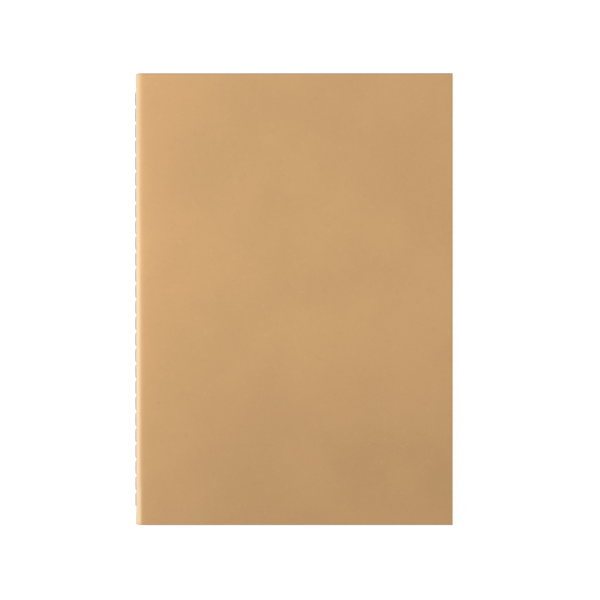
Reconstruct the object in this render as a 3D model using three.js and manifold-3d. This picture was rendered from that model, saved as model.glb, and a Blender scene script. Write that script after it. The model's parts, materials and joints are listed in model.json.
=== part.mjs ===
// A5 lined notebook: one signature of folded sheets, machine-sewn through the fold into a kraft paper cover.
// It lies closed on its back cover: +X to the fore edge, +Y to the head, +Z up through the front cover.
// Every sheet is one leaf of the front half, one of the back half and the half-round fold that joins them.
import * as THREE from "three";
import { mergeVertices } from "three/addons/utils/BufferGeometryUtils.js";
import Module from "manifold-3d";

// Driving dimensions, in millimetres unless the name says otherwise
const closedWidth = 147.3; // flat of the spine to the fore edge
const pageHeight = 210; // head to tail
const sheetCount = 16; // folded sheets, so 32 leaves
const paperThickness = 0.09;
const coverThickness = 0.3;
const layerGap = 0.01; // air between one layer and the next
const creaseReach = 0.3; // fold axis to the crease that a leaf turns at
const flatAngle = 60; // degrees of each half-round fold that the sewing presses flat
const shoulderSteps = 2; // facets on each shoulder of a fold
const threadDiameter = 0.32;
const threadSides = 6;
const threadSeat = 0.02; // air between a stitch and the paper that it lies on
const centreClearance = 0.09; // air on each side of the bobbin thread between the middle leaves
const stitchPitch = 7.45; // needle hole to needle hole
const seamMargin = 8; // least distance of the first and last hole from head and tail
const holeLength = 1.6; // needle hole along the seam
const holeSideClearance = 0.06; // air beside the thread in a needle hole
const lockWidth = 0.24; // length along the seam where the two threads pass each other
const lockGap = 0.1; // air between the two threads there
const mergeDistance = 1e-4;

// Sizes that follow from them
const threadRadius = threadDiameter / 2;
const layerPitch = paperThickness + layerGap;
const innerHalf = threadRadius + centreClearance; // fold axis to the middle leaves
const outerHalf = innerHalf + sheetCount * layerPitch + coverThickness;
const flatHalfAngle = THREE.MathUtils.degToRad(flatAngle / 2);
const flatShare = Math.cos(flatHalfAngle); // how far a fold's flat lies out, as a share of its radius
const spineReach = outerHalf * flatShare; // fold axis to the flat of the spine
const stitchProud = threadSeat + threadDiameter; // how far a stitch stands out of the spine
const foreEdge = (closedWidth + stitchProud) / 2; // the origin is halfway between stitches and fore edge
const foldX = foreEdge - closedWidth + spineReach;
const foldZ = outerHalf;
const stitchCount = Math.floor((pageHeight - 2 * seamMargin) / stitchPitch);

const wasm = await Module();
wasm.setup();

// A closed three.js geometry as a solid that can be cut
function solidOf(geometry) {
  const bare = geometry.clone();
  bare.deleteAttribute("normal");
  bare.deleteAttribute("uv");
  const merged = mergeVertices(bare, mergeDistance);
  return new wasm.Manifold(
    new wasm.Mesh({
      numProp: 3,
      vertProperties: merged.attributes.position.array,
      triVerts: new Uint32Array(merged.index.array),
    }),
  );
}

// A cut solid as a three.js geometry with a flat normal on each facet
function geometryOf(solid) {
  const mesh = solid.getMesh();
  const indexed = new THREE.BufferGeometry();
  indexed.setAttribute("position", new THREE.BufferAttribute(mesh.vertProperties, 3));
  indexed.setIndex(new THREE.BufferAttribute(mesh.triVerts, 1));
  const faceted = indexed.toNonIndexed();
  faceted.computeVertexNormals();
  return faceted;
}

// Angles of a fold's corners, from the front crease round the spine to the back crease
function foldAngles() {
  const quarter = Math.PI / 2;
  const shoulder = quarter - flatHalfAngle;
  const angles = [];
  for (let i = 0; i <= shoulderSteps; i++)
    angles.push(quarter + (shoulder * i) / shoulderSteps);
  return [...angles, ...angles.map((angle) => 2 * Math.PI - angle).reverse()];
}

// One side of a fold: a half round about the fold axis that runs out straight to both creases
function foldLine(radius) {
  const corner = (angle) => new THREE.Vector2(radius * Math.cos(angle), radius * Math.sin(angle));
  return [
    new THREE.Vector2(creaseReach, radius),
    ...foldAngles().map(corner),
    new THREE.Vector2(creaseReach, -radius),
  ];
}

// The needle holes as one cutting tool that passes through every fold
function needleHoles() {
  const depth = spineReach + creaseReach;
  const height = threadDiameter + 2 * holeSideClearance;
  const holes = holePlaces().map((y) =>
    solidOf(
      new THREE.BoxGeometry(depth, holeLength, height).translate(
        foldX - spineReach - creaseReach / 2 + depth / 2,
        y,
        foldZ,
      ),
    ),
  );
  return wasm.Manifold.union(holes);
}

// Places of the needle holes along the spine, evenly about its middle
function holePlaces() {
  return Array.from({ length: stitchCount + 1 }, (_, i) => (i - stitchCount / 2) * stitchPitch);
}

// A fold of one layer, from its inner radius outwards, pierced for the sewing
function foldGeometry(innerRadius, thickness, holes) {
  const outline = [...foldLine(innerRadius + thickness), ...foldLine(innerRadius).reverse()];
  const band = new THREE.ExtrudeGeometry(new THREE.Shape(outline), {
    depth: pageHeight,
    bevelEnabled: false,
  });
  band.rotateX(Math.PI / 2).translate(foldX, pageHeight / 2, foldZ);
  return geometryOf(solidOf(band).subtract(holes));
}

// A leaf or cover panel from its crease to the fore edge; side is 1 in the front half and -1 in the back
function panelGeometry(innerRadius, thickness, side) {
  const width = foreEdge - foldX - creaseReach;
  return new THREE.BoxGeometry(width, pageHeight, thickness).translate(
    foreEdge - width / 2,
    0,
    foldZ + side * (innerRadius + thickness / 2),
  );
}

// A thread's centre line: straight stitches at one depth that dip through each hole to the lock
function threadRoute(stitchX, lockX) {
  const turn = holeLength / 2 - threadRadius - threadSeat;
  const places = holePlaces();
  const route = [];
  places.forEach((y, i) => {
    if (i > 0) route.push(new THREE.Vector3(stitchX, y - turn, foldZ));
    route.push(new THREE.Vector3(lockX, y - lockWidth / 2, foldZ));
    route.push(new THREE.Vector3(lockX, y + lockWidth / 2, foldZ));
    if (i < places.length - 1) route.push(new THREE.Vector3(stitchX, y + turn, foldZ));
  });
  return route;
}

// A closed tube along a route that lies in one level plane, mitred at its bends
function threadGeometry(route) {
  const up = new THREE.Vector3(0, 0, 1);
  const positions = [];
  route.forEach((point, i) => {
    const before = route[Math.max(i - 1, 0)];
    const after = route[Math.min(i + 1, route.length - 1)];
    const cameAlong = (i > 0 ? point : after).clone().sub(i > 0 ? before : point).normalize();
    const goesAlong = (i < route.length - 1 ? after : point)
      .clone()
      .sub(i < route.length - 1 ? point : before)
      .normalize();
    const along = cameAlong.clone().add(goesAlong).normalize();
    const across = new THREE.Vector3().crossVectors(up, along);
    const mitre = 1 / along.dot(cameAlong);
    for (let side = 0; side < threadSides; side++) {
      const angle = ((side + 0.5) / threadSides) * 2 * Math.PI;
      const corner = point
        .clone()
        .addScaledVector(across, Math.cos(angle) * threadRadius * mitre)
        .addScaledVector(up, Math.sin(angle) * threadRadius);
      positions.push(corner.x, corner.y, corner.z);
    }
  });
  const index = [];
  const last = (route.length - 1) * threadSides;
  for (let ring = 0; ring < route.length - 1; ring++)
    for (let side = 0; side < threadSides; side++) {
      const a = ring * threadSides + side;
      const b = ring * threadSides + ((side + 1) % threadSides);
      index.push(a, b, a + threadSides, b, b + threadSides, a + threadSides);
    }
  for (let side = 1; side < threadSides - 1; side++) {
    index.push(0, side + 1, side);
    index.push(last, last + side, last + side + 1);
  }
  const tube = new THREE.BufferGeometry();
  tube.setAttribute("position", new THREE.Float32BufferAttribute(positions, 3));
  tube.setIndex(index);
  const faceted = tube.toNonIndexed();
  faceted.computeVertexNormals();
  return faceted;
}

const kraft = { color: 0xcba171, roughness: 0.85, metalness: 0 };
const page = { color: 0xf6f2e6, roughness: 0.9, metalness: 0 };
const cotton = { color: 0xe4d9bf, roughness: 0.95, metalness: 0 };

function piece(name, geometry, look) {
  const mesh = new THREE.Mesh(geometry, new THREE.MeshStandardMaterial(look));
  mesh.name = name;
  return mesh;
}

// The cover: one kraft sheet creased into a back panel, a pierced spine and a front panel
function cover(holes) {
  const inner = outerHalf - coverThickness;
  const group = new THREE.Group();
  group.add(
    piece("cover_front", panelGeometry(inner, coverThickness, 1), kraft),
    piece("cover_spine", foldGeometry(inner, coverThickness, holes), kraft),
    piece("cover_back", panelGeometry(inner, coverThickness, -1), kraft),
  );
  return group;
}

// One folded sheet; sheet 1 lies next to the cover and the last one in the middle
function sheet(number, holes) {
  const inner = innerHalf + (sheetCount - number) * layerPitch;
  const name = `sheet_${String(number).padStart(2, "0")}`;
  const group = new THREE.Group();
  group.add(
    piece(`${name}_front_leaf`, panelGeometry(inner, paperThickness, 1), page),
    piece(`${name}_fold`, foldGeometry(inner, paperThickness, holes), page),
    piece(`${name}_back_leaf`, panelGeometry(inner, paperThickness, -1), page),
  );
  return group;
}

// The lockstitch seam: the needle thread outside the spine and the bobbin thread inside the middle fold
function seam() {
  const innerFlat = innerHalf * flatShare;
  const needleX = foldX - spineReach - threadSeat - threadRadius;
  const bobbinX = foldX - innerFlat + threadSeat + threadRadius;
  const dip = threadRadius + lockGap;
  const lockX = foldX - (spineReach + innerFlat) / 2;
  const group = new THREE.Group();
  group.add(
    piece("needle_thread", threadGeometry(threadRoute(needleX, lockX - dip)), cotton),
    piece("bobbin_thread", threadGeometry(threadRoute(bobbinX, lockX + dip)), cotton),
  );
  return group;
}

const holes = needleHoles();
const notebook = new THREE.Group();
notebook.name = "lined_notebook";
notebook.add(cover(holes), seam());
for (let number = 1; number <= sheetCount; number++) notebook.add(sheet(number, holes));

export default notebook;
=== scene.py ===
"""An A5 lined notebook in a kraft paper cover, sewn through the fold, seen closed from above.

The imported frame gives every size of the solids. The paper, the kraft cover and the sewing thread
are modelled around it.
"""

from __future__ import annotations

import json
import logging
import math
from collections.abc import Callable
from dataclasses import dataclass
from enum import Enum

import bmesh
import bpy
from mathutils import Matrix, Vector, noise

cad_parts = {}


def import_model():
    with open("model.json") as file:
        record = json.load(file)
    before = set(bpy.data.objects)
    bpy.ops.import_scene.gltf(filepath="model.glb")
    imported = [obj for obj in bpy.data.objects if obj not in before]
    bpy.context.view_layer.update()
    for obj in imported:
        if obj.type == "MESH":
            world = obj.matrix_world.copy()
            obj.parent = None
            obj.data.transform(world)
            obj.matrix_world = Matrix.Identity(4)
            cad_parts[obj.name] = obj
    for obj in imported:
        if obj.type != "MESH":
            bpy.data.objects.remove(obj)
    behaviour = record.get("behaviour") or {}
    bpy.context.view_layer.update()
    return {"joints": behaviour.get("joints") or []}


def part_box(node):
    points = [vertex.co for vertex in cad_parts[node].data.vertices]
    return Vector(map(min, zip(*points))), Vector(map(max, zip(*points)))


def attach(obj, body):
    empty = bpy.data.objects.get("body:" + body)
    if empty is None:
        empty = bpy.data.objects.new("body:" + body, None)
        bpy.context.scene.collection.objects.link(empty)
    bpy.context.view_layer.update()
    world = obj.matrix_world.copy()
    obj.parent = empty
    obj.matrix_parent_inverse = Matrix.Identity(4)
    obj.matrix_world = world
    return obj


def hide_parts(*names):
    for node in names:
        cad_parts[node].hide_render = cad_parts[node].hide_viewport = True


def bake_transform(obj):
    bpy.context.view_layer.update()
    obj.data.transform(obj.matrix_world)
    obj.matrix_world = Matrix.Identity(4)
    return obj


log = logging.getLogger("notebook")

MM = 0.001
HAIR = 0.001 * MM  # slack with which points are picked by their place
REST_PLACE = "rest_place"
SHEETS = 16
CHAINED_SHEETS = 2  # the sheets next to the cover whose front leaves turn with it

SMOOTH_ANGLE = math.radians(35)  # a sharper edge keeps its crease in the shading
UNIT = (0.0, 1.0)
WHITE = (1.0, 1.0, 1.0, 1.0)
ORIGIN = (0.0, 0.0, 0.0)
COLUMN_WIDTH = 180  # between nodes in the editor

Point = tuple[float, float, float]
Colour = tuple[float, float, float, float]
Span = tuple[float, float]
Feeds = dict[str | int, object]
Node = bpy.types.Node
Outputs = bpy.types.NodeOutputs
Socket = bpy.types.NodeSocket
Tree = bpy.types.NodeTree
Material = bpy.types.Material
Piece = bpy.types.Object


@dataclass(frozen=True)
class Layer:
    """One layer of the notebook, where the frame has it."""

    radius: float  # fold axis to the middle of the layer
    thickness: float


@dataclass(frozen=True)
class Section:
    """The notebook's cross-section, measured on the frame in metres, and its seam."""

    fold_x: float
    fold_z: float
    top_axis_z: float
    crease_x: float
    fore_x: float
    head_y: float
    spine_reach: float
    stitch_pitch: float = 7.45 * MM  # as in the solids, with the number of stitches
    stitches: int = 26

    @classmethod
    def of_frame(cls, joints: list[dict]) -> Section:
        """Measures the section on the frame.

        Args:
            joints: the frame's joints, whose axes lie in the fold and over the spine.

        Returns:
            The measured section.
        """
        places = {joint["name"]: joint["pos_m"] for joint in joints}
        fold = places["centre_opening"]
        panel_low, panel_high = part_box("cover_back")
        spine_low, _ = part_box("cover_spine")
        return cls(
            fold_x=fold[0],
            fold_z=fold[2],
            top_axis_z=places["front_cover_opening"][2],
            crease_x=panel_low.x,
            fore_x=panel_high.x,
            head_y=panel_high.y,
            spine_reach=fold[0] - spine_low.x,
        )

    def layer(self, front_node: str) -> Layer:
        """The radius and thickness of the layer that a front leaf or panel belongs to."""
        low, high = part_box(front_node)
        return Layer(radius=(low.z + high.z) / 2 - self.fold_z, thickness=high.z - low.z)

    def from_hole(self, y: float) -> float:
        """Distance along the seam from y to the nearest needle hole."""
        step = min(max(round(y / self.stitch_pitch + self.stitches / 2), 0), self.stitches)
        return abs(y - (step - self.stitches / 2) * self.stitch_pitch)


def smoothstep(low: float, high: float, value: float) -> float:
    """Rises smoothly from 0 at low to 1 at high."""
    share = min(max((value - low) / (high - low), 0.0), 1.0)
    return share * share * (3 - 2 * share)


@dataclass
class Workpiece:
    """A mesh on the bench, shaped by edit-mode operators on what its methods pick."""

    name: str
    thing: Piece | None = None

    def start_grid(self, columns: int, rows: int) -> None:
        """Clears the bench, adds a flat grid one metre square at the origin and enters edit mode.

        Args:
            columns: faces along X.
            rows: faces along Y.
        """
        bpy.ops.object.select_all(action="DESELECT")
        bpy.ops.mesh.primitive_grid_add(x_subdivisions=columns, y_subdivisions=rows, size=1.0)
        self.thing = bpy.context.active_object
        self.thing.name = self.name
        self.thing.data.name = self.name
        bpy.ops.object.mode_set(mode="EDIT")
        bpy.ops.mesh.select_mode(type="VERT")

    def pick(self, wanted: Callable[[Vector], bool]) -> None:
        """Selects the points that pass a test, with the edges and faces between them.

        Args:
            wanted: takes a point's place and says whether it is selected.
        """
        mesh = bmesh.from_edit_mesh(self.thing.data)
        for part in (*mesh.faces, *mesh.edges):
            part.select = False
        for vert in mesh.verts:
            vert.select = wanted(vert.co)
        mesh.select_flush(True)
        bmesh.update_edit_mesh(self.thing.data)

    def resize(self, x: float, y: float, z: float, about: Point) -> None:
        """Scales what is picked about a point."""
        bpy.ops.transform.resize(value=(x, y, z), center_override=about)

    def move(self, x: float, y: float, z: float) -> None:
        """Moves what is picked."""
        bpy.ops.transform.translate(value=(x, y, z))

    def pull_out(self, x: float, y: float, z: float) -> None:
        """Extrudes what is picked by one step."""
        bpy.ops.mesh.extrude_region_move(TRANSFORM_OT_translate={"value": (x, y, z)})

    def cut_away(self, wanted: Callable[[Vector], bool]) -> None:
        """Deletes the faces whose middle passes a test.

        Args:
            wanted: takes the middle of a face and says whether it goes.
        """
        mesh = bmesh.from_edit_mesh(self.thing.data)
        bpy.ops.mesh.select_mode(type="FACE")
        for face in mesh.faces:
            face.select_set(wanted(face.calc_center_median()))
        bmesh.update_edit_mesh(self.thing.data)
        bpy.ops.mesh.delete(type="FACE")
        bpy.ops.mesh.select_mode(type="VERT")

    def leave_edit(self) -> None:
        """Makes the normals agree and goes back to object mode."""
        bpy.ops.mesh.select_all(action="SELECT")
        bpy.ops.mesh.normals_make_consistent(inside=False)
        bpy.ops.object.mode_set(mode="OBJECT")

    def sculpt(self, place: Callable[[Vector], Vector]) -> None:
        """Moves every point.

        Args:
            place: takes a point's place and gives the new one.
        """
        for vert in self.thing.data.vertices:
            vert.co = place(vert.co)
        self.thing.data.update()

    def apply_solidify(self, thickness: float) -> None:
        """Gives the sheet its thickness, half to each side.

        Args:
            thickness: from one face to the other.
        """
        wall = self.thing.modifiers.new("thickness", "SOLIDIFY")
        wall.thickness = thickness
        wall.offset = 0.0
        wall.use_even_offset = True
        wall.use_rim = True
        bpy.ops.object.modifier_apply(modifier=wall.name)

    def finish(self, material: Material, slot: str) -> Piece:
        """Smooths and dresses the piece.

        Args:
            material: the finish.
            slot: not used.

        Returns:
            The finished object.
        """
        bpy.ops.object.shade_smooth_by_angle(angle=SMOOTH_ANGLE)
        dress(self.thing, material)
        return self.thing


def dress(piece: Piece, material: Material) -> None:
    """Gives a piece its material, stores each point's place at rest on it and reports it.

    Args:
        piece: the mesh object.
        material: its finish.
    """
    mesh = piece.data
    mesh.materials.clear()
    mesh.materials.append(material)
    places = [0.0] * (3 * len(mesh.vertices))
    mesh.vertices.foreach_get("co", places)
    mesh.attributes.new(REST_PLACE, "FLOAT_VECTOR", "POINT").data.foreach_set("vector", places)
    log.info("%s: %d faces", piece.name, len(mesh.polygons))


@dataclass
class NodeBench:
    """Adds and links the nodes of one tree, from left to right."""

    tree: Tree
    column: int = 0

    def add(self, kind: str, inputs: Feeds | None = None, **settings: object) -> Node:
        """Adds a node, sets its properties and feeds it.

        Args:
            kind: the node's type name.
            inputs: what its inputs get.
            **settings: its properties.

        Returns:
            The new node.
        """
        node = self.tree.nodes.new(kind)
        node.location = (COLUMN_WIDTH * self.column, 0)
        self.column += 1
        for name, value in settings.items():
            setattr(node, name, value)
        self.feed(node, inputs or {})
        return node

    def feed(self, node: Node, inputs: Feeds) -> None:
        """Feeds a node's inputs.

        Args:
            node: the node.
            inputs: an input's name or number, to the socket or the value that it gets.
        """
        for label, value in inputs.items():
            if isinstance(value, Socket):
                self.tree.links.new(value, node.inputs[label])
            else:
                node.inputs[label].default_value = value

    def math(self, operation: str, *values: object, clamp: bool = False) -> Socket:
        """Adds a Math node.

        Args:
            operation: what it works out.
            *values: numbers or sockets, in the node's order.
            clamp: whether the result stays from 0 to 1.

        Returns:
            The output with the result.
        """
        feeds = dict(enumerate(values))
        return self.add("ShaderNodeMath", feeds, operation=operation, use_clamp=clamp).outputs[0]

    def ramp(self, value: Socket, span: Span, to_low: float = 0.0, to_high: float = 1.0) -> Socket:
        """Maps a range smoothly to another one.

        Args:
            value: the number to map.
            span: where the range starts and ends.
            to_low: what its start becomes.
            to_high: what its end becomes.

        Returns:
            The output with the mapped number.
        """
        feeds = dict(enumerate((value, *span, to_low, to_high)))
        return self.add("ShaderNodeMapRange", feeds, interpolation_type="SMOOTHSTEP").outputs[0]

    def noise(self, vector: Socket, scale: float, detail: float, roughness: float) -> Socket:
        """Adds a noise texture.

        Args:
            vector: the place it is read at.
            scale: cells in a metre.
            detail: how many finer layers lie on it.
            roughness: how strong the finer layers are.

        Returns:
            The output with its value.
        """
        feeds = {"Vector": vector, "Scale": scale, "Detail": detail, "Roughness": roughness}
        return self.add("ShaderNodeTexNoise", feeds).outputs[0]

    def mapped(self, vector: Socket, scale: Point, turn: float = 0.0) -> Socket:
        """Turns a vector about Z and stretches it.

        Args:
            vector: the vector.
            scale: how much longer a pattern becomes along each axis.
            turn: the angle, in radians.

        Returns:
            The output with the new vector.
        """
        feeds = {"Vector": vector, "Scale": scale, "Rotation": (0.0, 0.0, turn)}
        return self.add("ShaderNodeMapping", feeds, vector_type="TEXTURE").outputs[0]

    def mix(self, share: object, first: object, second: object, blend: str = "MIX") -> Socket:
        """Mixes two colours.

        Args:
            share: how much of the second shows.
            first: a colour.
            second: another one.
            blend: how they are mixed.

        Returns:
            The output with the mixed colour.
        """
        feeds = {0: share, 6: first, 7: second}
        return self.add("ShaderNodeMix", feeds, data_type="RGBA", blend_type=blend).outputs[2]

    def axes(self, vector: Socket) -> Outputs:
        """Splits a vector into the outputs X, Y and Z."""
        return self.add("ShaderNodeSeparateXYZ", {0: vector}).outputs

    def shade(self, colour: Colour, tone: Socket) -> Socket:
        """Multiplies a colour by a tone about 1, which makes it lighter or darker."""
        grey = self.add("ShaderNodeCombineColor", dict.fromkeys(range(3), tone)).outputs[0]
        return self.mix(1.0, colour, grey, "MULTIPLY")

    def group(self, tree: Tree, inputs: Feeds) -> Outputs:
        """Places a shared node group in the material and feeds it."""
        return self.add("ShaderNodeGroup", inputs, node_tree=tree).outputs

    def bump(self, height: Socket, distance: float) -> Socket:
        """Makes a normal from a relief of 0 to 1, where 1 stands out by the distance."""
        feeds = {"Strength": 1.0, "Distance": distance, "Height": height}
        return self.add("ShaderNodeBump", feeds).outputs["Normal"]


def new_group(
    name: str, inputs: dict[str, str], outputs: tuple[str, ...]
) -> tuple[NodeBench, Outputs, Node]:
    """Starts a shader node group.

    Args:
        name: the group's name.
        inputs: socket name to its kind.
        outputs: names of the sockets that put out a number.

    Returns:
        A bench with its tree, what its input node puts out, and its output node.
    """
    tree = bpy.data.node_groups.new(name, "ShaderNodeTree")
    for label, kind in inputs.items():
        tree.interface.new_socket(label, in_out="INPUT", socket_type=kind)
    for label in outputs:
        tree.interface.new_socket(label, in_out="OUTPUT", socket_type="NodeSocketFloat")
    bench = NodeBench(tree)
    return bench, bench.add("NodeGroupInput").outputs, bench.add("NodeGroupOutput")


@dataclass(frozen=True)
class Pulp:
    """Pressed pulp: cloudy tone, fine tooth, and long pale and dark fibres lying every way."""

    clouds: float = 24.0  # cells in a metre, as the next three
    grains: float = 2600.0
    fibres: float = 170.0
    bends: float = 300.0
    cloud_range: Span = (0.3, 0.7)
    grain_range: Span = (0.25, 0.75)
    fibre_range: Span = (0.66, 0.74)
    bend_reach: float = 4 * MM
    slenderness: float = 0.07  # a fibre's width, as a share of its length
    headings: tuple[float, ...] = (0.35, 1.25, 2.1, 2.85)  # pale and dark in turn, in radians

    def group(self) -> Tree:
        """Builds the node group that both papers use.

        Returns:
            The group, with the outputs Cloud, Tooth, Pale and Dark, each from 0 to 1.
        """
        bench, source, result = new_group(
            "paper_fibres", {"Vector": "NodeSocketVector"}, ("Cloud", "Tooth", "Pale", "Dark")
        )
        place = source["Vector"]
        clouds = bench.noise(place, self.clouds, detail=4.0, roughness=0.55)
        grains = bench.noise(place, self.grains, detail=3.0, roughness=0.6)
        cloud = bench.ramp(clouds, self.cloud_range)
        tooth = bench.ramp(grains, self.grain_range)
        drift = bench.add("ShaderNodeTexNoise", {"Vector": place, "Scale": self.bends})
        bend = {0: drift.outputs["Color"], 1: (self.bend_reach,) * 3, 2: place}
        bent = bench.add("ShaderNodeVectorMath", bend, operation="MULTIPLY_ADD")
        strands = []
        for heading in self.headings:
            lane = bench.mapped(bent.outputs[0], (1.0, self.slenderness, 1.0), heading)
            strand = bench.noise(lane, self.fibres, detail=1.0, roughness=0.4)
            strands.append(bench.ramp(strand, self.fibre_range))
        pale = bench.math("MAXIMUM", strands[0], strands[2])
        dark = bench.math("MAXIMUM", strands[1], strands[3])
        bench.feed(result, {"Cloud": cloud, "Tooth": tooth, "Pale": pale, "Dark": dark})
        return bench.tree


def trim_edge_group() -> Tree:
    """The guillotined edges: a mask that is 1 at head, tail and fore edge and fades inwards.

    Returns:
        The node group, with the output Edge.
    """
    sizes = dict.fromkeys(("Head", "Fore", "Fade"), "NodeSocketFloat")
    bench, source, result = new_group(
        "trim_edge", {"Vector": "NodeSocketVector"} | sizes, ("Edge",)
    )
    axes = bench.axes(source["Vector"])
    from_head = bench.math("SUBTRACT", source["Head"], bench.math("ABSOLUTE", axes["Y"]))
    from_fore = bench.math("SUBTRACT", source["Fore"], axes["X"])
    share = bench.math("DIVIDE", bench.math("MINIMUM", from_head, from_fore), source["Fade"])
    bench.feed(result, {"Edge": bench.math("SUBTRACT", 1.0, share, clamp=True)})
    return bench.tree


@dataclass(frozen=True)
class KraftPaper:
    """Unbleached kraft card: brown, matt, with long fibres, a painted highlight on the fold and
    painted light and shade on the panels.
    """

    colour: Colour = (0.588, 0.342, 0.146, 1.0)
    pale_fibre: Colour = (0.75, 0.51, 0.28, 1.0)
    dark_fibre: Colour = (0.36, 0.19, 0.08, 1.0)
    fibre_show: float = 0.16
    clouds: Span = (0.972, 1.028)  # darkest and lightest
    grain: Span = (0.965, 1.035)
    # darker kraft on the cut faces, and painted shade on the panels along head, tail and fore edge
    cut_faces_and_edge_shade: Colour = (0.42, 0.31, 0.19, 1.0)
    edge_shade_show: float = 0.75
    cut_reach: float = 1.1 * MM
    painted_light_at_fold: float = 0.13  # painted light: how much lighter the panels are towards the fold
    painted_light_reach: float = 17 * MM
    middle_painted_light: float = 1.03  # painted light and shade: the panels are palest halfway up and darker towards tail and head
    tail_painted_shade: float = 0.92
    head_painted_shade: float = 0.945
    painted_shade_reach: float = 100 * MM
    # painted highlight: a paler, whiter colour on the fold's shoulders
    painted_sheen_colour: Colour = (0.66, 0.475, 0.285, 1.0)
    painted_sheen_share: float = 0.6
    painted_sheen_span: Span = (-1.6 * MM, 0.9 * MM)  # past the fold axis, towards the spine
    painted_tail_highlight_colour: Colour = (0.8, 0.565, 0.335, 1.0)  # painted highlight on the spine's shoulders, from the middle to the tail
    painted_tail_highlight_share: float = 0.53
    painted_tail_highlight_span: Span = (-0.8 * MM, 0.3 * MM)
    painted_tail_highlight_width: float = 0.15 * MM
    painted_tail_highlight_top: float = 80 * MM
    worn: Colour = (0.5, 0.365, 0.235, 1.0)  # the flat of the spine, greyed by hands
    wear: float = 0.95
    worn_span: Span = (0.55 * MM, 1.35 * MM)
    roughness: float = 0.66
    polish: float = 0.08  # how far the roughness strays
    specular: float = 0.5
    tooth_height: float = 0.006 * MM
    fibre_height: float = 0.8  # as a share of the tooth

    def material(self, groups: dict[str, Tree], section: Section) -> Material:
        """Builds the material.

        Args:
            groups: the shared node groups by name.
            section: the notebook's outline, for the fold and the trimmed edges.

        Returns:
            The kraft material.
        """
        material, bench, surface, place = start_material("kraft_paper")
        fibres = bench.group(groups["paper_fibres"], {"Vector": place})
        outline = {"Head": section.head_y, "Fore": section.fore_x, "Fade": self.cut_reach}
        edge = bench.group(groups["trim_edge"], {"Vector": place, **outline})["Edge"]
        axes = bench.axes(place)
        from_fold = bench.math("SUBTRACT", section.fold_x, axes["X"])
        tone = self.tone(bench, fibres, from_fold, axes["Y"])
        colour = self.paint_fold_highlights_and_wear(bench, bench.shade(self.colour, tone), from_fold, axes["Y"])
        pale = bench.math("MULTIPLY", fibres["Pale"], self.fibre_show)
        dark = bench.math("MULTIPLY", fibres["Dark"], self.fibre_show)
        # painted shade along the edges, with the cut faces' own darker colour
        edge_shade = bench.math("MULTIPLY", edge, self.edge_shade_show)
        colour = bench.mix(pale, colour, self.pale_fibre)
        colour = bench.mix(dark, colour, self.dark_fibre)
        colour = bench.mix(edge_shade, colour, self.cut_faces_and_edge_shade)
        smoothest, roughest = self.roughness - self.polish, self.roughness + self.polish
        roughness = bench.ramp(fibres["Tooth"], UNIT, smoothest, roughest)
        strands = bench.math("MULTIPLY", fibres["Pale"], self.fibre_height)
        normal = bench.bump(bench.math("ADD", fibres["Tooth"], strands), self.tooth_height)
        bench.feed(surface, {"Roughness": roughness, "Specular IOR Level": self.specular})
        bench.feed(surface, {"Base Color": colour, "Normal": normal})
        return material

    def tone(self, bench: NodeBench, fibres: Outputs, from_fold: Socket, up: Socket) -> Socket:
        """How light or dark the card is: its pulp, and painted light and shade, lighter towards the
        fold and darker towards head and tail.

        Args:
            bench: the material's bench.
            fibres: what the pulp group puts out.
            from_fold: distance past the fold axis, towards the spine.
            up: place along Y.

        Returns:
            The output with the tone, about 1.
        """
        clouds = bench.ramp(fibres["Cloud"], UNIT, *self.clouds)
        grain = bench.ramp(fibres["Tooth"], UNIT, *self.grain)
        # painted light on the panels, fading from the fold towards the fore edge
        fading = bench.math("EXPONENT", bench.math("DIVIDE", from_fold, self.painted_light_reach))
        painted_light_near_fold = bench.math("MULTIPLY_ADD", fading, self.painted_light_at_fold, 1.0)
        tone = bench.math("MULTIPLY", bench.math("MULTIPLY", clouds, grain), painted_light_near_fold)
        # painted shade towards the tail and the head
        lower = bench.ramp(up, (-self.painted_shade_reach, 0.0), self.tail_painted_shade, self.middle_painted_light)
        upper = bench.ramp(up, (0.0, self.painted_shade_reach), 1.0, self.head_painted_shade)
        return bench.math("MULTIPLY", tone, bench.math("MULTIPLY", lower, upper))

    def paint_fold_highlights_and_wear(self, bench: NodeBench, colour: Socket, from_fold: Socket, up: Socket) -> Socket:
        """Paints highlights on the fold's shoulders, brighter from the middle to the tail, and
        greys the flat of the spine as wear.

        Args:
            bench: the material's bench.
            colour: the card's colour.
            from_fold: distance past the fold axis, towards the spine.
            up: place along Y.

        Returns:
            The output with the painted highlights and the worn flat.
        """
        # painted highlight on the shoulders
        on_shoulder = bench.ramp(from_fold, self.painted_sheen_span, 0.0, self.painted_sheen_share)
        colour = bench.mix(on_shoulder, colour, self.painted_sheen_colour)
        # painted highlight on the shoulders, stronger from the middle to the tail
        low_down = bench.ramp(up, (0.0, self.painted_tail_highlight_top), 1.0, 0.0)
        on_edge = bench.ramp(from_fold, self.painted_tail_highlight_span, 0.0, self.painted_tail_highlight_share)
        colour = bench.mix(bench.math("MULTIPLY", low_down, on_edge), colour, self.painted_tail_highlight_colour)
        past_painted_highlights = bench.math("MULTIPLY_ADD", low_down, -self.painted_tail_highlight_width, from_fold)
        on_flat = bench.ramp(past_painted_highlights, self.worn_span, 0.0, self.wear)
        return bench.mix(on_flat, colour, self.worn)


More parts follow.
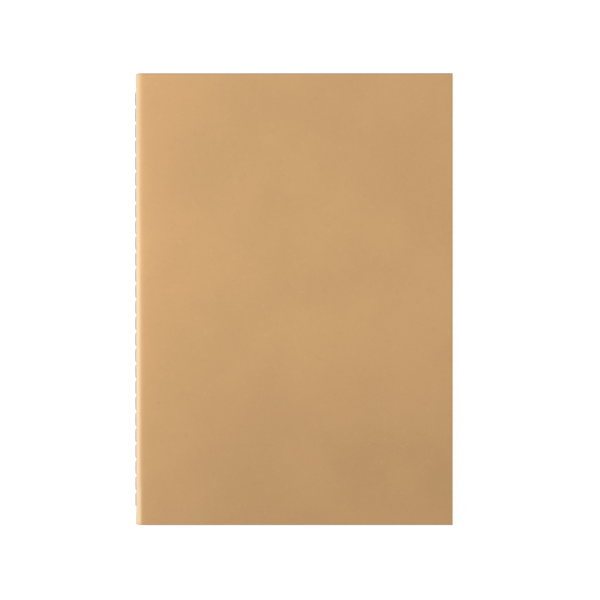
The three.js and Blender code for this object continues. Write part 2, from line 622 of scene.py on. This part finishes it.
@dataclass(frozen=True)
class RuledPaper:
    """Uncoated cream writing paper with pale ruled lines on both sides."""

    colour: Colour = (0.86, 0.82, 0.72, 1.0)
    clouds: Span = (0.985, 1.01)  # darkest and lightest
    speck: Colour = (0.72, 0.66, 0.54, 1.0)
    speck_show: float = 0.12
    line_colour: Colour = (0.33, 0.4, 0.5, 1.0)
    line_pitch: float = 7.0 * MM
    line_width: float = 0.28 * MM
    line_blur: float = 0.3  # as a share of half its width
    top_margin: float = 22.0 * MM
    lines: int = 26
    ink: float = 0.75
    cut_reach: float = 0.25 * MM
    ink_on_cut: float = 0.3  # so the lines don't show as stripes on the page edges
    roughness: float = 0.85
    specular: float = 0.3
    tooth_height: float = 0.005 * MM

    def material(self, groups: dict[str, Tree], section: Section) -> Material:
        """Builds the material.

        Args:
            groups: the shared node groups by name.
            section: the notebook's outline, whose head the first line is measured from.

        Returns:
            The ruled paper material.
        """
        material, bench, surface, place = start_material("ruled_paper")
        fibres = bench.group(groups["paper_fibres"], {"Vector": place})
        outline = {"Head": section.head_y, "Fore": section.fore_x, "Fade": self.cut_reach}
        edge = bench.group(groups["trim_edge"], {"Vector": place, **outline})["Edge"]
        down = bench.math("SUBTRACT", section.head_y - self.top_margin, bench.axes(place)["Y"])
        line = self.line(bench, bench.math("DIVIDE", down, self.line_pitch))
        inked = bench.math("MULTIPLY_ADD", edge, self.ink_on_cut - 1.0, 1.0)
        ink = bench.math("MULTIPLY", bench.math("MULTIPLY", line, inked), self.ink)
        specks = bench.math("MULTIPLY", fibres["Dark"], self.speck_show)
        colour = bench.shade(self.colour, bench.ramp(fibres["Cloud"], UNIT, *self.clouds))
        colour = bench.mix(ink, bench.mix(specks, colour, self.speck), self.line_colour)
        normal = bench.bump(fibres["Tooth"], self.tooth_height)
        bench.feed(surface, {"Roughness": self.roughness, "Specular IOR Level": self.specular})
        bench.feed(surface, {"Base Color": colour, "Normal": normal})
        return material

    def line(self, bench: NodeBench, count: Socket) -> Socket:
        """Draws the ruled lines.

        Args:
            bench: the material's bench.
            count: distance below the first line, in line pitches.

        Returns:
            The output that is 1 on a line.
        """
        off = bench.math("ABSOLUTE", bench.math("SUBTRACT", count, bench.math("ROUND", count)))
        half = self.line_width / 2 / self.line_pitch
        rim = (half * (1.0 - self.line_blur), half * (1.0 + self.line_blur))
        line = bench.ramp(off, rim, 1.0, 0.0)
        past_first = bench.math("GREATER_THAN", count, -0.5)  # from half a pitch above it
        up_to_last = bench.math("LESS_THAN", count, self.lines - 0.5)
        return bench.math("MULTIPLY", line, bench.math("MULTIPLY", past_first, up_to_last))


@dataclass(frozen=True)
class SewingThread:
    """Natural cotton thread, slightly hairy, in three plies."""

    colour: Colour = (0.5, 0.44, 0.33, 1.0)
    shadow: Colour = (0.32, 0.27, 0.19, 1.0)
    hairs: float = 3200.0  # cells in a metre
    hair_shape: Point = (0.17, 1.0, 0.17)  # long along the seam
    hair_range: Span = (0.35, 0.65)
    hair_height: float = 0.015 * MM
    roughness: float = 0.9
    specular: float = 0.2
    sheen: float = 0.3

    def material(self) -> Material:
        """Builds the material.

        Returns:
            The thread material.
        """
        material, bench, surface, place = start_material("cotton_thread")
        lane = bench.mapped(place, self.hair_shape)
        hair = bench.noise(lane, self.hairs, detail=3.0, roughness=0.6)
        colour = bench.mix(bench.ramp(hair, self.hair_range), self.shadow, self.colour)
        normal = bench.bump(hair, self.hair_height)
        bench.feed(surface, {"Roughness": self.roughness, "Specular IOR Level": self.specular})
        bench.feed(surface, {"Base Color": colour, "Normal": normal, "Sheen Weight": self.sheen})
        return material


def start_material(name: str) -> tuple[Material, NodeBench, Node, Socket]:
    """Starts a material whose patterns read each point's place at rest.

    Args:
        name: the material's name.

    Returns:
        The material, a bench for it, its surface shader and the socket with the place at rest.
    """
    material = bpy.data.materials.new(name)
    material.use_nodes = True
    surface = material.node_tree.nodes["Principled BSDF"]
    bench = NodeBench(material.node_tree, column=-12)  # left of the surface shader
    place = bench.add("ShaderNodeAttribute", attribute_type="GEOMETRY", attribute_name=REST_PLACE)
    return material, bench, surface, place.outputs["Vector"]


def along_spine(y: float, waves: float, lane: float) -> float:
    """Noise along the spine, from about 0 to 1, with its own run of values in each lane."""
    return 0.5 + noise.noise(Vector((y * waves, lane, 0.0)))


@dataclass(frozen=True)
class PressedFold:
    """How sewing and handling change the even folds: pressed flatter, and dented at the holes."""

    section: Section
    slope: float = 0.31  # rise of the shoulder where the flat panels begin
    shoulder: float = 0.6 * MM
    relax: float = 1.0 * MM
    wander: float = 0.35 * MM
    wander_waves: float = 34.0  # in a metre of spine, as the ripples
    wander_lane: float = 3.7  # where its noise is read, as the next one
    ripple_lane: float = 4.1
    dent_depth: float = 0.2 * MM
    dent_length: float = 2.4 * MM
    dent_spread: float = 1.6  # the higher, the narrower the dents round the fold
    waviness: float = 0.05 * MM
    ripple_waves: float = 90.0
    corner_wear: float = 0.35 * MM  # how far the spine's ends are knocked in
    corner_length: float = 1.2 * MM
    crimp_start: float = -89.6 * MM  # the tail end of the spine is pressed harder
    crimp_end: float = -86.0 * MM
    crimp_slope: float = 0.42
    crimp_relax: float = 0.55 * MM
    crimp_reach: float = 0.45 * MM

    def pressed(self, x: float, y: float) -> float:
        """How far the outermost layer is pressed towards the middle.

        Args:
            x: distance from the fold axis towards the fore edge.
            y: place along the spine.

        Returns:
            The travel towards the middle leaves.
        """
        crimped = 1.0 - smoothstep(self.crimp_start, self.crimp_end, y)
        slope = self.slope + (self.crimp_slope - self.slope) * crimped
        relax = self.relax + (self.crimp_relax - self.relax) * crimped
        drift = along_spine(y, self.wander_waves, self.wander_lane)
        reach = self.crimp_reach * crimped + self.wander * max(drift, 0.0) * (1.0 - crimped)
        if x > reach:
            return slope * relax * math.exp((reach - x) / relax)
        travel = slope * (relax + reach - max(x, 0.0))
        if x < 0:
            bent = max(x + self.shoulder, 0.0)
            travel += slope * (self.shoulder**2 - bent**2) / (2 * self.shoulder)
        return travel

    def shape(self, place: Vector, ease: float) -> Vector:
        """Moves a point of an even fold to the pressed and handled one.

        Args:
            place: a point of a layer whose folds are half round.
            ease: how much more a layer gives way than the cover does.

        Returns:
            Where the point lies.
        """
        s = self.section
        out = Vector((place.x - s.fold_x, 0.0, place.z - s.fold_z))
        outermost = s.top_axis_z - s.fold_z
        squeeze = ease * self.pressed(out.x, place.y) / outermost
        if out.x < 0:
            angle = math.atan2(abs(out.z), -out.x)
            on_flat = math.cos(min(angle * self.dent_spread, math.pi / 2))
            on_shoulder = math.sin(2 * angle) ** 2
            near_hole = 1.0 - smoothstep(0.0, self.dent_length, s.from_hole(place.y))
            lane = math.copysign(self.ripple_lane, out.z)
            ripple = along_spine(place.y, self.ripple_waves, lane)
            inward = self.dent_depth * near_hole * on_flat + self.waviness * ripple * on_shoulder
            out *= 1.0 - ease * inward / outermost
        at_end = smoothstep(s.head_y - self.corner_length, s.head_y, abs(place.y))
        worn = self.corner_wear * at_end * smoothstep(0.0, s.spine_reach, -out.x)
        y = place.y - math.copysign(worn, place.y)
        return Vector((s.fold_x + out.x, y, s.fold_z + out.z * (1.0 - squeeze)))

    def press(self, work: Workpiece, ease: float, thickness: float) -> Workpiece:
        """Presses a layer and gives it its thickness.

        Args:
            work: the layer on the bench, in edit mode.
            ease: how much more it gives way than the cover does.
            thickness: of its paper or card.

        Returns:
            The same layer, in object mode.
        """
        work.leave_edit()
        work.sculpt(lambda place: self.shape(place, ease))
        work.apply_solidify(thickness)
        return work


class Hole(Enum):
    """How the needle opens a layer."""

    PRICK = "a prick hole, no wider than the thread needs at rest"
    SLIT = "a slit round the fold, which leaves the thread room as the notebook opens"


@dataclass
class FoldedSheet:
    """A sheet of paper or card folded round the fold axis, lying closed."""

    section: Section
    layer: Layer
    rows_per_stitch: int
    hole_rows: int
    arc_steps: int
    hole: Hole
    bend_length: float = 1.8 * MM
    bend_columns: int = 8
    widening: float = 1.6
    hole_half_height: float = 0.24 * MM
    hole_facets: float = 0.9  # a hole's least half height, in facets round the fold

    def columns(self) -> list[float]:
        """Lays out the columns from the bend to the fore edge, each wider than the one before.

        Returns:
            Their widths.
        """
        s = self.section
        left = s.fore_x - s.crease_x - self.bend_length
        width = self.bend_length / self.bend_columns
        widths = []
        while left > 0:
            width = min(width * self.widening, left)
            widths.append(width)
            left -= width
        return widths

    def lay_bend(self, work: Workpiece, height: float) -> None:
        """Lays the fine columns beside the crease, with rows at every hole and margins at the ends.

        Args:
            work: the bench.
            height: where the layer lies.
        """
        s = self.section
        row = s.stitch_pitch / self.rows_per_stitch
        rows = s.stitches * self.rows_per_stitch + self.hole_rows
        length = rows * row
        work.start_grid(self.bend_columns, rows)
        work.resize(self.bend_length, length, 1.0, ORIGIN)
        work.move(s.crease_x + self.bend_length / 2, 0.0, height)
        end = length / 2 - row / 2
        half_margin = (s.head_y - length / 2) / 2
        for sign in (1, -1):
            work.pick(lambda place: place.y * sign > end)
            work.pull_out(0.0, sign * half_margin, 0.0)
            work.pull_out(0.0, sign * half_margin, 0.0)

    def run_to_fore_edge(self, work: Workpiece) -> None:
        """Pulls the right-hand edge out to the fore edge.

        Args:
            work: the bench, with the bend on it.
        """
        edge = self.section.crease_x + self.bend_length - HAIR
        work.pick(lambda place: place.x > edge)
        for width in self.columns():
            work.pull_out(width, 0.0, 0.0)

    def fold_over(self, work: Workpiece) -> None:
        """Turns the sheet's left edge round the fold axis to the front crease, flat at the spine.

        Args:
            work: the bench, with the back half on it.
        """
        s = self.section
        reach = s.crease_x - s.fold_x
        work.pick(lambda place: place.x < s.crease_x + HAIR)
        work.pull_out(-reach, 0.0, 0.0)
        middle, axis = (s.fold_x, 0.0, s.fold_z), (0.0, -1.0, 0.0)
        bpy.ops.mesh.spin(steps=self.arc_steps, angle=math.pi, center=middle, axis=axis)
        top = s.fold_z + self.layer.radius - HAIR
        work.pick(lambda place: place.z > top)
        work.pull_out(reach, 0.0, 0.0)
        work.pick(lambda place: place.x < s.fold_x - HAIR)
        flat_share = s.spine_reach / (s.top_axis_z - s.fold_z)
        work.resize(flat_share, 1.0, 1.0, middle)

    def pierce(self, work: Workpiece) -> None:
        """Cuts the needle holes through the fold.

        Args:
            work: the bench, with the fold on it.
        """
        s = self.section
        reach = s.stitch_pitch / self.rows_per_stitch * self.hole_rows / 2
        if self.hole is Hole.SLIT:
            work.cut_away(lambda place: place.x < s.crease_x and s.from_hole(place.y) < reach)
            return
        facet = self.layer.radius * math.sin(math.pi / self.arc_steps)
        tall = max(self.hole_half_height, facet * self.hole_facets)
        work.cut_away(
            lambda place: place.x < s.fold_x
            and abs(place.z - s.fold_z) < tall
            and s.from_hole(place.y) < reach
        )

    def wrap(self, name: str, with_front: bool) -> Workpiece:
        """Models the back leaf and the fold with its needle holes.

        Args:
            name: the piece's name.
            with_front: whether the front leaf is part of the piece.

        Returns:
            The bench, in edit mode.
        """
        work = Workpiece(name)
        self.lay_bend(work, self.section.fold_z - self.layer.radius)
        self.run_to_fore_edge(work)
        self.fold_over(work)
        if with_front:
            self.run_on_to_front(work)
        self.pierce(work)
        return work

    def run_on_to_front(self, work: Workpiece) -> None:
        """Pulls the fold's edge at the front crease out to a front leaf.

        Args:
            work: the bench, with the back leaf and the fold on it.
        """
        s = self.section
        top = s.fold_z + self.layer.radius - HAIR
        work.pick(lambda place: place.z > top and abs(place.x - s.crease_x) < HAIR)
        for width in [self.bend_length / self.bend_columns] * self.bend_columns + self.columns():
            work.pull_out(width, 0.0, 0.0)

    def front(self, name: str) -> Workpiece:
        """Models the front leaf by itself, from the crease to the fore edge.

        Args:
            name: the piece's name.

        Returns:
            The bench, in edit mode.
        """
        work = Workpiece(name)
        self.lay_bend(work, self.section.fold_z + self.layer.radius)
        self.run_to_fore_edge(work)
        return work

    def bend_round_fold(self, piece: Piece) -> None:
        """Bakes the piece's transform into its mesh.

        Args:
            piece: the finished piece.
        """
        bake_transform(piece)

    def bend_at_crease(self, piece: Piece) -> None:
        """Bakes the transform of a front leaf or panel into its mesh.

        Args:
            piece: the finished leaf.
        """
        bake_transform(piece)


@dataclass
class Signature:
    """The sixteen folded sheets, nested one in the other."""

    section: Section
    fold: PressedFold
    paper: Material
    slot: str = "ruled_paper"
    caliper: float = 0.068 * MM  # under the solids' thickness, which keeps pressed folds clear
    ease: float = 1.1  # the paper gives way more than the card

    def build(self) -> None:
        """Models every sheet and hides the frame's parts that it stands for."""
        for number in range(1, SHEETS + 1):
            stem = f"sheet_{number:02d}"
            layer = self.section.layer(f"{stem}_front_leaf")
            sheet = FoldedSheet(
                self.section, layer, rows_per_stitch=9, hole_rows=2, arc_steps=12, hole=Hole.SLIT
            )
            if number <= CHAINED_SHEETS:
                self.split_sheet(sheet, stem)
            else:
                self.whole_sheet(sheet, stem)

    def whole_sheet(self, sheet: FoldedSheet, stem: str) -> None:
        """Makes a sheet in one piece.

        Args:
            sheet: its sizes.
            stem: how its nodes' names start.
        """
        piece = self.press(sheet.wrap(f"{stem}_paper", with_front=True))
        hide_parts(f"{stem}_front_leaf", f"{stem}_fold", f"{stem}_back_leaf")
        sheet.bend_round_fold(piece)

    def split_sheet(self, sheet: FoldedSheet, stem: str) -> None:
        """Makes a sheet in two pieces that meet at the front crease, where its leaf turns.

        Args:
            sheet: its sizes.
            stem: how its nodes' names start.
        """
        back = self.press(sheet.wrap(f"{stem}_back_and_fold", with_front=False))
        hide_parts(f"{stem}_fold", f"{stem}_back_leaf")
        sheet.bend_round_fold(back)
        leaf = self.press(sheet.front(f"{stem}_front"))
        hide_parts(f"{stem}_front_leaf")
        sheet.bend_at_crease(leaf)

    def press(self, work: Workpiece) -> Piece:
        """Presses a sheet that lies on the bench and dresses it in paper."""
        return self.fold.press(work, self.ease, self.caliper).finish(self.paper, self.slot)


@dataclass
class Cover:
    """The kraft cover: back panel and spine in one piece, and the front panel."""

    section: Section
    fold: PressedFold
    kraft: Material
    slot: str = "kraft_cover"

    def build(self) -> None:
        """Models both pieces and hides the frame's parts that they stand for."""
        layer = self.section.layer("cover_front")
        sheet = FoldedSheet(
            self.section, layer, rows_per_stitch=18, hole_rows=4, arc_steps=24, hole=Hole.PRICK
        )
        work = sheet.wrap("kraft_back_and_spine", with_front=False)
        back = self.press(work, layer.thickness)
        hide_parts("cover_back", "cover_spine")
        sheet.bend_round_fold(back)
        panel = self.press(sheet.front("kraft_front"), layer.thickness)
        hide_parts("cover_front")
        sheet.bend_at_crease(panel)

    def press(self, work: Workpiece, thickness: float) -> Piece:
        """Presses a piece that lies on the bench and dresses it in kraft card."""
        return self.fold.press(work, ease=1.0, thickness=thickness).finish(self.kraft, self.slot)


@dataclass(frozen=True)
class ThreadPath:
    """One of the seam's two threads."""

    piece: str
    node: str  # the frame's node that it stands for
    stitch_x: float
    lock_x: float  # how far it dips into the holes
    sink: float  # how far a stitch presses into the dent beside its hole


@dataclass
class Seam:
    """The lockstitch, with one thread outside the spine and the other inside the middle fold."""

    section: Section
    cotton: Material
    slot: str = "sewing_thread"
    radius: float = 0.16 * MM
    plies: int = 3
    ply_share: float = 0.52  # a ply's radius, as a share of the thread's
    twist_pitch: float = 1.1 * MM
    steps_per_twist: int = 8
    dip_start: float = 0.25 * MM  # from a hole's middle, as the next one
    dip_end: float = 0.85 * MM
    sink: float = 0.12 * MM  # of the needle thread, into the spine's dents
    sink_length: float = 2.4 * MM
    lock_share: float = 1.25  # how far off the middle each thread stops, in thread radii
    bobbin_lift: float = 0.065 * MM  # so it barely touches the middle sheet that lies open

    def build(self) -> None:
        """Models both threads, which ride on the seam."""
        s = self.section
        needle_low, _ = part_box("needle_thread")
        _, bobbin_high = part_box("bobbin_thread")
        lock_x = s.fold_x - s.spine_reach / 2
        reach = self.lock_share * self.radius
        needle_x = needle_low.x + self.radius
        bobbin_x = bobbin_high.x - self.radius + self.bobbin_lift
        paths = (
            ThreadPath("needle_thread_plies", "needle_thread", needle_x, lock_x - reach, self.sink),
            ThreadPath("bobbin_thread_plies", "bobbin_thread", bobbin_x, lock_x + reach, 0.0),
        )
        for path in paths:
            self.twist(path)

    def route(self, path: ThreadPath) -> list[Vector]:
        """Points of a thread's centre line: on the stitch line, and down to the lock in every hole.

        Args:
            path: the thread.

        Returns:
            The points from tail to head.
        """
        s = self.section
        step = self.twist_pitch / self.steps_per_twist
        end = s.stitches * s.stitch_pitch / 2
        count = round(2 * end / step)
        route = []
        for i in range(count + 1):
            y = -end + 2 * end * i / count
            from_hole = s.from_hole(y)
            up = smoothstep(self.dip_start, self.dip_end, from_hole)
            sunk = path.sink * (1.0 - smoothstep(0.0, self.sink_length, from_hole))
            depth = path.stitch_x + math.copysign(sunk, path.lock_x - path.stitch_x)
            route.append(Vector((path.lock_x + (depth - path.lock_x) * up, y, s.fold_z)))
        return route

    def ply(self, curve: bpy.types.Curve, route: list[Vector], lead: float) -> None:
        """Winds one ply round a thread's centre line.

        Args:
            curve: the curve that it is added to.
            route: the centre line.
            lead: how far ahead of the first ply it lies, in turns.
        """
        swing = self.radius * (1.0 - self.ply_share)
        up = Vector((0.0, 0.0, 1.0))
        last = len(route) - 1
        spline = curve.splines.new("POLY")
        spline.points.add(last)
        for i, (place, point) in enumerate(zip(route, spline.points)):
            along = (route[min(i + 1, last)] - route[max(i - 1, 0)]).normalized()
            turn = 2 * math.pi * (i / self.steps_per_twist + lead)
            off = along.cross(up) * math.cos(turn) + up * math.sin(turn)
            point.co = (*(place + off * swing), 1.0)

    def twist(self, path: ThreadPath) -> None:
        """Twists the plies of one thread, makes them a mesh and lets it ride on the seam.

        Args:
            path: the thread.
        """
        route = self.route(path)
        curve = bpy.data.curves.new(path.piece, "CURVE")
        curve.dimensions = "3D"
        curve.bevel_depth = self.radius * self.ply_share
        curve.bevel_resolution = 1
        curve.use_fill_caps = True
        for number in range(self.plies):
            self.ply(curve, route, number / self.plies)
        piece = bpy.data.objects.new(path.piece, curve)
        bpy.context.collection.objects.link(piece)
        bpy.ops.object.select_all(action="DESELECT")
        piece.select_set(True)
        bpy.context.view_layer.objects.active = piece
        bpy.ops.object.convert(target="MESH")
        piece = bpy.context.active_object
        bpy.ops.object.mode_set(mode="EDIT")
        bpy.ops.mesh.select_all(action="SELECT")
        bpy.ops.mesh.remove_doubles(threshold=0.1 * HAIR)
        bpy.ops.mesh.normals_make_consistent(inside=False)
        bpy.ops.object.mode_set(mode="OBJECT")
        bpy.ops.object.shade_smooth()
        dress(piece, self.cotton)
        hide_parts(path.node)
        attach(piece, "seam")


@dataclass(frozen=True)
class Lamp:
    """A square area lamp that points at the notebook."""

    name: str
    place: Point
    size: float
    power: float  # in watts

    def hang(self) -> None:
        """Adds the lamp to the scene."""
        data = bpy.data.lights.new(self.name, "AREA")
        data.size = self.size
        data.energy = self.power
        lamp = bpy.data.objects.new(self.name, data)
        bpy.context.collection.objects.link(lamp)
        lamp.location = self.place
        lamp.rotation_euler = (-Vector(self.place)).to_track_quat("-Z", "Y").to_euler()


@dataclass(frozen=True)
class Studio:
    """The white table, the lamps and the camera over the notebook."""

    lamps: tuple[Lamp, ...] = (
        Lamp("left", (-1.39, -0.05, 0.56), size=0.6, power=24.4),
        Lamp("head", (-0.1, 0.61, 0.43), size=0.5, power=2.5),
        Lamp("fill", (1.15, -0.75, 0.22), size=0.8, power=6.0),
    )
    room_light: float = 0.25
    table_size: float = 6.0
    table_white: float = 0.85  # as it lights the notebook
    table_shown: float = 0.2  # as it shows, under its glow
    table_glow: float = 0.9
    distance: float = 1.4
    aim_height: float = 4.3 * MM
    pixels_per_mm: float = 2.1526
    frame_pixels: float = 600.0
    centre_pixel: tuple[float, float] = (293.76, 299.3)
    sensor: float = 36.0
    tilt: float = math.radians(0.54)
    turn: float = math.radians(0.02)

    def build(self) -> None:
        """Sets up floor, lamps, world and camera."""
        self.floor()
        for lamp in self.lamps:
            lamp.hang()
        self.world()
        self.camera()

    def floor(self) -> None:
        """Lays the white table under the notebook."""
        bpy.ops.object.select_all(action="DESELECT")
        bpy.ops.mesh.primitive_plane_add(size=self.table_size, location=ORIGIN)
        table = bpy.context.active_object
        table.name = "white_table"
        material = bpy.data.materials.new("white_table")
        material.use_nodes = True
        material.node_tree.nodes.clear()
        bench = NodeBench(material.node_tree)
        plain, paint = (
            bench.add("ShaderNodeBsdfDiffuse", {"Color": (grey, grey, grey, 1.0)}).outputs[0]
            for grey in (self.table_white, self.table_shown)
        )
        glow = bench.add("ShaderNodeEmission", {"Strength": self.table_glow}).outputs[0]
        shown = bench.add("ShaderNodeAddShader", {0: glow, 1: paint}).outputs[0]
        mixed = self.shown_to_viewer(bench, plain, shown)
        bench.add("ShaderNodeOutputMaterial", {"Surface": mixed})
        table.data.materials.append(material)

    def world(self) -> None:
        """Lights the room evenly, with a white background behind the table."""
        world = bpy.data.worlds.new("room")
        bpy.context.scene.world = world
        world.use_nodes = True
        nodes = world.node_tree.nodes
        bench = NodeBench(world.node_tree)
        room, backdrop = nodes["Background"], bench.add("ShaderNodeBackground", {"Color": WHITE})
        bench.feed(room, {"Color": WHITE, "Strength": self.room_light})
        mixed = self.shown_to_viewer(bench, room.outputs[0], backdrop.outputs[0])
        bench.feed(nodes["World Output"], {"Surface": mixed})

    def shown_to_viewer(self, bench: NodeBench, lighting: Socket, shown: Socket) -> Socket:
        """Gives rays from the camera, or by gloss or glass, another shader than those that light.

        Args:
            bench: the bench to mix the two on.
            lighting: the shader for the rays that light.
            shown: the shader for the rays that show it.

        Returns:
            The mixed shader's output.
        """
        rays = bench.add("ShaderNodeLightPath").outputs
        mirrored = bench.math("MAXIMUM", rays["Is Glossy Ray"], rays["Is Transmission Ray"])
        share = bench.math("MAXIMUM", rays["Is Camera Ray"], mirrored)
        return bench.add("ShaderNodeMixShader", {0: share, 1: lighting, 2: shown}).outputs[0]

    def camera(self) -> None:
        """Hangs the camera over the table, a hair off square as in the picture."""
        data = bpy.data.cameras.new("camera")
        data.sensor_width = self.sensor
        pixel = MM / self.pixels_per_mm
        data.lens = self.sensor * self.distance / (self.frame_pixels * pixel)
        camera = bpy.data.objects.new("camera", data)
        bpy.context.collection.objects.link(camera)
        middle = self.frame_pixels / 2
        across = (middle - self.centre_pixel[0]) * pixel
        up = (self.centre_pixel[1] - middle) * pixel
        back = Vector((0.0, math.sin(self.tilt), math.cos(self.tilt)))
        camera.location = Vector((across, up, self.aim_height)) + back * self.distance
        camera.rotation_euler = (-self.tilt, 0.0, -self.turn)
        bpy.context.scene.camera = camera


def main() -> None:
    """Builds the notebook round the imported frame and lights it."""
    logging.basicConfig(level=logging.INFO, format="%(name)s: %(message)s")
    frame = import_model()
    bpy.context.scene.view_settings.view_transform = "Standard"
    section = Section.of_frame(frame["joints"])
    groups = {"paper_fibres": Pulp().group(), "trim_edge": trim_edge_group()}
    fold = PressedFold(section)
    Signature(section, fold, RuledPaper().material(groups, section)).build()
    Cover(section, fold, KraftPaper().material(groups, section)).build()
    Seam(section, SewingThread().material()).build()
    Studio().build()


if __name__ == "__main__":
    main()
